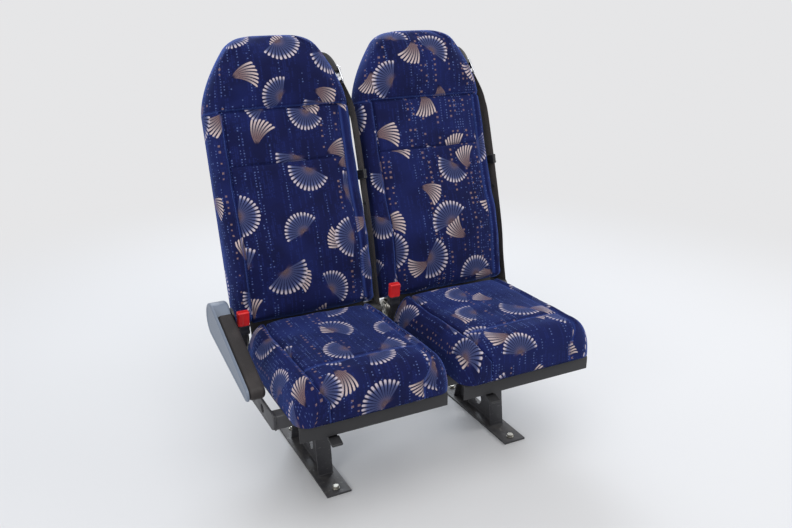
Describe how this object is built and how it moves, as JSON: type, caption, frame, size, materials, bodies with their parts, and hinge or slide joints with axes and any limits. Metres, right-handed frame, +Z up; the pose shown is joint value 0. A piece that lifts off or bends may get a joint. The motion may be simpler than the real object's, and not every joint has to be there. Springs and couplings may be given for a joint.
{
  "type": "twin reclining coach passenger seat",
  "caption": "Twin reclining coach passenger seat with patterned upholstery, shoulder belts and a folding aisle armrest on floor pedestals.",
  "frame": {"origin": "on the floor, in the middle of the four floor bolts", "axes": "+Z up; passengers face -Y; the aisle is at -X and the window at +X"},
  "size_m": [1.0345, 0.8, 1.2144],
  "materials": {
    "frame_paint": "satin powder coat",
    "pan_paint": "satin",
    "zinc_steel": "zinc plated",
    "chrome_steel": "polished",
    "moquette": "cut pile",
    "webbing": "woven",
    "shell_grey": "grained",
    "pocket_trim": "grained",
    "black_trim": "grained",
    "armrest_grey": "grained",
    "armrest_pad": "soft skin",
    "buckle_black": "satin",
    "red_button": "satin"
  },
  "bodies": {
    "base": {"pedestal_aisle": "frame_paint", "pedestal_wall": "frame_paint", "front_tube": "frame_paint", "rear_tube": "frame_paint", "side_plate_aisle_outer": "frame_paint", "side_plate_aisle_inner": "frame_paint", "side_plate_window_inner": "frame_paint", "side_plate_window_outer": "frame_paint", "pan_aisle": "pan_paint", "pan_window": "pan_paint", "cushion_aisle": "moquette", "cushion_window": "moquette", "recliner_aisle": "zinc_steel", "recliner_window": "zinc_steel", "lever_aisle": "black_trim", "lever_window": "black_trim", "buckle_stalk_aisle": "black_trim", "buckle_stalk_window": "black_trim", "buckle_aisle": "buckle_black", "buckle_window": "buckle_black", "buckle_button_aisle": "red_button", "buckle_button_window": "red_button", "armrest_bracket": "frame_paint"},
    "back_aisle": {"back_frame_aisle": "frame_paint", "back_shell_aisle": "shell_grey", "back_pad_aisle": "moquette", "pocket_aisle": "pocket_trim", "belt_bracket_aisle": "black_trim", "belt_ring_aisle": "chrome_steel", "webbing_aisle": "webbing", "belt_tongue_aisle": "black_trim", "belt_cover_aisle": "black_trim"},
    "back_window": {"back_frame_window": "frame_paint", "back_shell_window": "shell_grey", "back_pad_window": "moquette", "pocket_window": "pocket_trim", "belt_bracket_window": "black_trim", "belt_ring_window": "chrome_steel", "webbing_window": "webbing", "belt_tongue_window": "black_trim", "belt_cover_window": "black_trim"},
    "armrest": {"armrest_shell": "armrest_grey", "armrest_pad": "armrest_pad"}
  },
  "joints": [
    {"name": "recline_aisle", "type": "hinge", "parent": "base", "child": "back_aisle", "pos_m": [-0.24, 0.175, 0.365], "axis": [-1, 0, 0], "range_deg": [0, 22]},
    {"name": "recline_window", "type": "hinge", "parent": "base", "child": "back_window", "pos_m": [0.24, 0.175, 0.365], "axis": [-1, 0, 0], "range_deg": [0, 22]},
    {"name": "armrest_fold", "type": "hinge", "parent": "base", "child": "armrest", "pos_m": [-0.526, 0.1, 0.468], "axis": [-1, 0, 0], "range_deg": [0, 105]}
  ]
}
